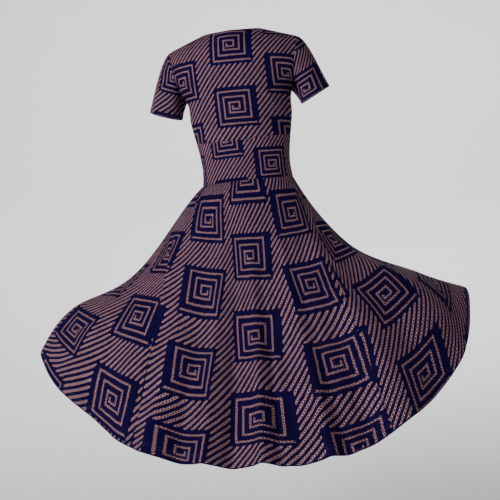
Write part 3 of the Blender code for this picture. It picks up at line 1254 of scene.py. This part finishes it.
def mixed(
    tree: bpy.types.NodeTree,
    share: Signal | float,
    first: tuple | bpy.types.NodeSocket,
    second: tuple | bpy.types.NodeSocket | Signal,
    blend: str = "MIX",
) -> bpy.types.NodeSocket:
    """Adds one colour mix.

    Args:
        tree: the material's tree.
        share: how much of the second colour.
        first: a colour, or a socket that gives one.
        second: a colour, a socket or a signal.
        blend: the node's blend type.

    Returns:
        The socket of the mixed colour.
    """
    node = tree.nodes.new("ShaderNodeMix")
    node.data_type, node.blend_type = "RGBA", blend
    feed(tree, node.inputs["Factor"], share)
    for socket, value in ((node.inputs[6], first), (node.inputs[7], second)):
        if isinstance(value, tuple):
            socket.default_value = (*value, 1.0)
        else:
            tree.links.new(value.socket if isinstance(value, Signal) else value, socket)
    return node.outputs[2]


@dataclass(frozen=True)
class Thread:
    """Finish of the sewing thread: dyed to the ground, twisted and slightly glossy."""

    name: str = "navy_thread"
    colour: tuple[float, float, float] = (0.014, 0.010, 0.042)
    paler: float = 1.8
    twist_scale: float = 900.0
    relief: float = 0.0001
    relief_strength: float = 0.4
    roughness: float = 0.55
    sheen: float = 0.2

    def make(self) -> bpy.types.Material:
        """Builds the material."""
        material, tree, shader = new_material(self.name)
        fibre = solid_noise(tree, self.twist_scale)
        pale = tuple(self.paler * channel for channel in self.colour)
        tree.links.new(mixed(tree, fibre, self.colour, pale), shader.inputs["Base Color"])
        bumped(shader, fibre, self.relief_strength, self.relief)
        shader.inputs["Roughness"].default_value = self.roughness
        shader.inputs["Sheen Weight"].default_value = self.sheen
        return material


@dataclass
class StitchRow:
    """One row of machine stitches that runs across a cloth piece."""

    piece: ClothPiece
    inset: float
    at_top: bool
    pitch: float = 0.0036
    length: float = 0.0026
    radius: float = 0.00032
    raise_by: float = 0.00015
    end_share: float = 0.004
    samples: int = 1200

    def route(self) -> tuple[Array, Array]:
        """Closely spaced points along the row and the cloth's outward directions there."""
        height = self.inset / self.piece.cut.length
        u = np.linspace(self.end_share, 1 - self.end_share, self.samples)[None, :]
        v = np.full_like(u, 1 - height if self.at_top else height)
        return self.piece.place(u, v)[0], self.piece.normals(u, v)[0]

    def stitches(self) -> tuple[Array, Array, Array]:
        """Centres, directions and outward directions of the stitches."""
        points, outward = self.route()
        steps = np.linalg.norm(np.diff(points, axis=0), axis=-1)
        run = np.concatenate([[0], np.cumsum(steps)])
        marks = np.arange(self.pitch, run[-1] - self.pitch, self.pitch)
        centre, ahead, up = (
            np.stack([np.interp(places, run, values[:, axis]) for axis in range(3)], axis=-1)
            for places, values in ((marks, points), (marks + STEP, points), (marks, outward))
        )
        return centre, unit(ahead - centre), unit(up)


@dataclass
class Stitching:
    """All rows of stitches along one open edge, joined into one piece."""

    name: str
    rows: tuple[StitchRow, ...]

    def build(self, thread: bpy.types.Material) -> bpy.types.Object:
        """Makes the stitches and puts them in the frame.

        Args:
            thread: the thread's material.

        Returns:
            The stitching's object.
        """
        shape = bmesh.new()
        bead = bmesh.new()
        bmesh.ops.create_uvsphere(bead, u_segments=6, v_segments=4, radius=1.0)
        mesh = bpy.data.meshes.new("one_stitch")
        bead.to_mesh(mesh)
        bead.free()
        for row in self.rows:
            for centre, along, up in zip(*row.stitches()):
                turned = Matrix((along, np.cross(up, along), up)).transposed().to_4x4()
                sized = Matrix.Diagonal((row.length / 2, row.radius, row.radius, 1.0))
                place = Matrix.Translation(Vector(centre + up * row.raise_by)) @ turned @ sized
                first = len(shape.verts)
                shape.from_mesh(mesh)
                shape.verts.ensure_lookup_table()
                bmesh.ops.transform(shape, matrix=place, verts=shape.verts[first:])
        bpy.data.meshes.remove(mesh)
        for face in shape.faces:
            face.smooth = True
        piece = finished_piece(self.name, shape, [thread])
        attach(piece, BODY)
        return piece


@dataclass(frozen=True)
class SoftLight:
    """One soft square light, in metres and watts."""

    name: str
    place: tuple[float, float, float]
    size: float
    power: float
    aim: tuple[float, float, float] = (0.0, 0.0, -0.6)

    def hang(self) -> None:
        """Makes the light and turns it to its aim."""
        lamp = bpy.data.lights.new(self.name, "AREA")
        lamp.shape, lamp.size, lamp.energy = "SQUARE", self.size, self.power
        holder = bpy.data.objects.new(self.name, lamp)
        bpy.context.scene.collection.objects.link(holder)
        holder.location = self.place
        way = Vector(self.aim) - Vector(self.place)
        holder.rotation_euler = way.to_track_quat("-Z", "Y").to_euler()


@dataclass
class Studio:
    """Pale bowl-shaped floor, soft lights and the camera behind the dress."""

    floor_z: float = -1.42
    flat_radius: float = 1.5
    bend_radius: float = 6.0
    bend_steps: int = 24
    turn_steps: int = 96
    wall_height: float = 3.0
    shade: float = 0.74
    unevenness: float = 1.06
    cloud_scale: float = 0.6
    roughness: float = 0.95
    gloss: float = 0.1
    sky: tuple[float, float, float] = (0.9, 0.93, 1.0)
    sky_strength: float = 0.12
    lights: tuple[SoftLight, ...] = (
        SoftLight("key", (-2.8, -4.5, 0.8), size=1.0, power=262.0),
        SoftLight("fill", (3.2, -3.0, 0.2), size=2.6, power=6.0),
        SoftLight("rear", (0.6, 3.6, 1.6), size=2.6, power=50.0),
        SoftLight("backdrop", (0.0, 2.4, 3.6), size=4.0, power=400.0, aim=(0.0, 7.0, 0.4)),
    )
    distance: float = 3.0
    azimuth: float = 8.0
    height: float = -0.6
    aside: float = -0.0143
    roll: float = 6.0
    view_width: float = 1.375

    def floor(self) -> bpy.types.Object:
        """Spins a profile into a floor that curves up all round."""
        shape = bmesh.new()
        bends = np.linspace(0, math.pi / 2, self.bend_steps + 1)
        radii = self.flat_radius + self.bend_radius * np.sin(bends)
        heights = self.floor_z + self.bend_radius * (1 - np.cos(bends))
        wall_top = (radii[-1], self.floor_z + self.wall_height)
        profile = [(0.0, self.floor_z), *zip(radii, heights), wall_top]
        verts = [shape.verts.new((r, 0.0, z)) for r, z in profile]
        edges = [shape.edges.new(pair) for pair in zip(verts, verts[1:])]
        bmesh.ops.spin(
            shape,
            geom=verts + edges,
            cent=(0, 0, 0),
            axis=(0, 0, 1),
            angle=2 * math.pi,
            steps=self.turn_steps,
            use_merge=True,
        )
        bmesh.ops.remove_doubles(shape, verts=shape.verts[:], dist=1e-5)
        bmesh.ops.recalc_face_normals(shape, faces=shape.faces[:])
        for face in shape.faces:
            face.smooth = True
        floor = finished_piece("studio_floor", shape, [self.paper()])
        return floor

    def paper(self) -> bpy.types.Material:
        """Matte pale paper with a faint unevenness."""
        material, tree, shader = new_material("studio_paper")
        pale, paler = (self.shade,) * 3, (self.shade * self.unevenness,) * 3
        colour = mixed(tree, solid_noise(tree, self.cloud_scale), pale, paler)
        tree.links.new(colour, shader.inputs["Base Color"])
        shader.inputs["Roughness"].default_value = self.roughness
        shader.inputs["Specular IOR Level"].default_value = self.gloss
        return material

    def world(self) -> None:
        """Even pale surroundings."""
        world = bpy.data.worlds.new("studio")
        world.use_nodes = True
        background = world.node_tree.nodes["Background"]
        background.inputs["Color"].default_value = (*self.sky, 1.0)
        background.inputs["Strength"].default_value = self.sky_strength
        bpy.context.scene.world = world

    def camera(self) -> None:
        """Sets the camera where the photograph's stood."""
        turn, roll = math.radians(self.azimuth), math.radians(self.roll)
        right = Vector((math.cos(turn), math.sin(turn), 0))
        ahead = Vector((-math.sin(turn), math.cos(turn), 0))
        upright = Matrix((right, Vector((0, 0, 1)), -ahead)).transposed()
        lens = bpy.data.cameras.new("camera")
        lens.sensor_width = 36.0
        lens.lens = lens.sensor_width * self.distance / self.view_width
        lens.clip_end = 60.0
        camera = bpy.data.objects.new("camera", lens)
        bpy.context.scene.collection.objects.link(camera)
        place = right * self.aside - ahead * self.distance + Vector((0, 0, self.height))
        turned = upright.to_4x4() @ Matrix.Rotation(-roll, 4, "Z")
        camera.matrix_world = Matrix.Translation(place) @ turned
        bpy.context.scene.camera = camera

    def build(self) -> None:
        """Makes the floor, the lights, the surroundings and the camera."""
        self.floor()
        self.world()
        for light in self.lights:
            light.hang()
        self.camera()


@dataclass
class Dress:
    """The whole dress: its cut pieces, its cloth and thread, and its stitching."""

    bodices: tuple[BodicePanel, ...] = (
        BodicePanel(
            "bodice_back",
            Cut(width=0.40, length=0.30, flat=(0.44, 0.34), area=0.121, columns=110, rows=90),
            side=Side.BACK,
            creases=BACK_CREASES,
        ),
        BodicePanel(
            "bodice_front",
            Cut(width=0.42, length=0.32, flat=(0.46, 0.34), area=0.111, columns=110, rows=90),
            side=Side.FRONT,
            creases=FRONT_CREASES,
        ),
    )
    midriffs: tuple[MidriffPanel, ...] = tuple(
        MidriffPanel(
            f"midriff_{side.name.lower()}",
            Cut(width=0.34, length=0.115, flat=(0.37, 0.13), area=0.0395, columns=110, rows=30),
            side=side,
        )
        for side in Side
    )
    skirts: tuple[SkirtPanel, ...] = (
        SkirtPanel(
            "skirt_back",
            Cut(width=1.1, length=0.76, flat=(0.76, 0.79), area=0.42, columns=200, rows=110),
            side=Side.BACK,
        ),
        SkirtPanel(
            "skirt_front",
            Cut(width=2.2, length=0.74, flat=(1.60, 0.96), area=1.02, columns=330, rows=110),
            side=Side.FRONT,
            print_turns=FRONT_PRINT,
            print_rows=FRONT_ROWS,
            print_swing=0.12,
            print_tilt=0.010,
        ),
    )
    sleeves: tuple[Sleeve, ...] = (
        Sleeve(
            "sleeve_left",
            Cut(width=0.32, length=0.14, flat=(0.33, 0.19), area=0.036, columns=96, rows=48),
            arm=Arm.LEFT,
            chart_origin=(0.595, 0.79),
        ),
        Sleeve(
            "sleeve_right",
            Cut(width=0.32, length=0.14, flat=(0.33, 0.19), area=0.034, columns=96, rows=48),
            arm=Arm.RIGHT,
            chart_origin=(-0.50, 0.21),
        ),
    )
    face: PrintedJersey = PrintedJersey(
        "printed_face",
        ground=(0.0054, 0.0019, 0.029),
        ink=(0.375, 0.204, 0.225),
        bead=(0.040, 0.012, 0.018),
    )
    inside: PrintedJersey = PrintedJersey(
        "printed_inside",
        ground=(0.022, 0.016, 0.052),
        ink=(0.125, 0.080, 0.110),
        bead=(0.060, 0.040, 0.060),
        strength=0.55,
        roughness=0.88,
    )
    thread: Thread = Thread()
    skirt_insets: tuple[float, ...] = (0.018, 0.024)
    cuff_insets: tuple[float, ...] = (0.014, 0.019)

    def stitching_of(self, piece: ClothPiece) -> Stitching | None:
        """The rows of stitches along a piece's open edge, if it has them."""
        if isinstance(piece, SkirtPanel):
            insets, at_top = self.skirt_insets, False
        elif isinstance(piece, Sleeve):
            insets, at_top = self.cuff_insets, True
        else:
            return None
        rows = tuple(StitchRow(piece, inset, at_top) for inset in insets)
        return Stitching(f"{piece.node}_stitches", rows)

    def build(self) -> None:
        """Makes every piece and reports it."""
        printing, knit = SpiralPrint(), JerseyKnit()
        cloth = [finish.make(printing, knit) for finish in (self.face, self.inside)]
        thread = self.thread.make()
        for piece in (*self.bodices, *self.midriffs, *self.skirts, *self.sleeves):
            shell = piece.build(cloth)
            stitching = self.stitching_of(piece)
            sewn_on = [stitching.build(thread)] if stitching else []
            piece.declare(shell, sewn_on)
            LOG.info("%s: %d faces, %d stitched edges", piece.name, len(shell.data.polygons), len(sewn_on))


def main() -> None:
    """Builds the dress and the studio, in order."""
    logging.basicConfig(level=logging.INFO, format="%(name)s: %(message)s")
    Dress().build()
    Studio().build()


if __name__ == "__main__":
    main()
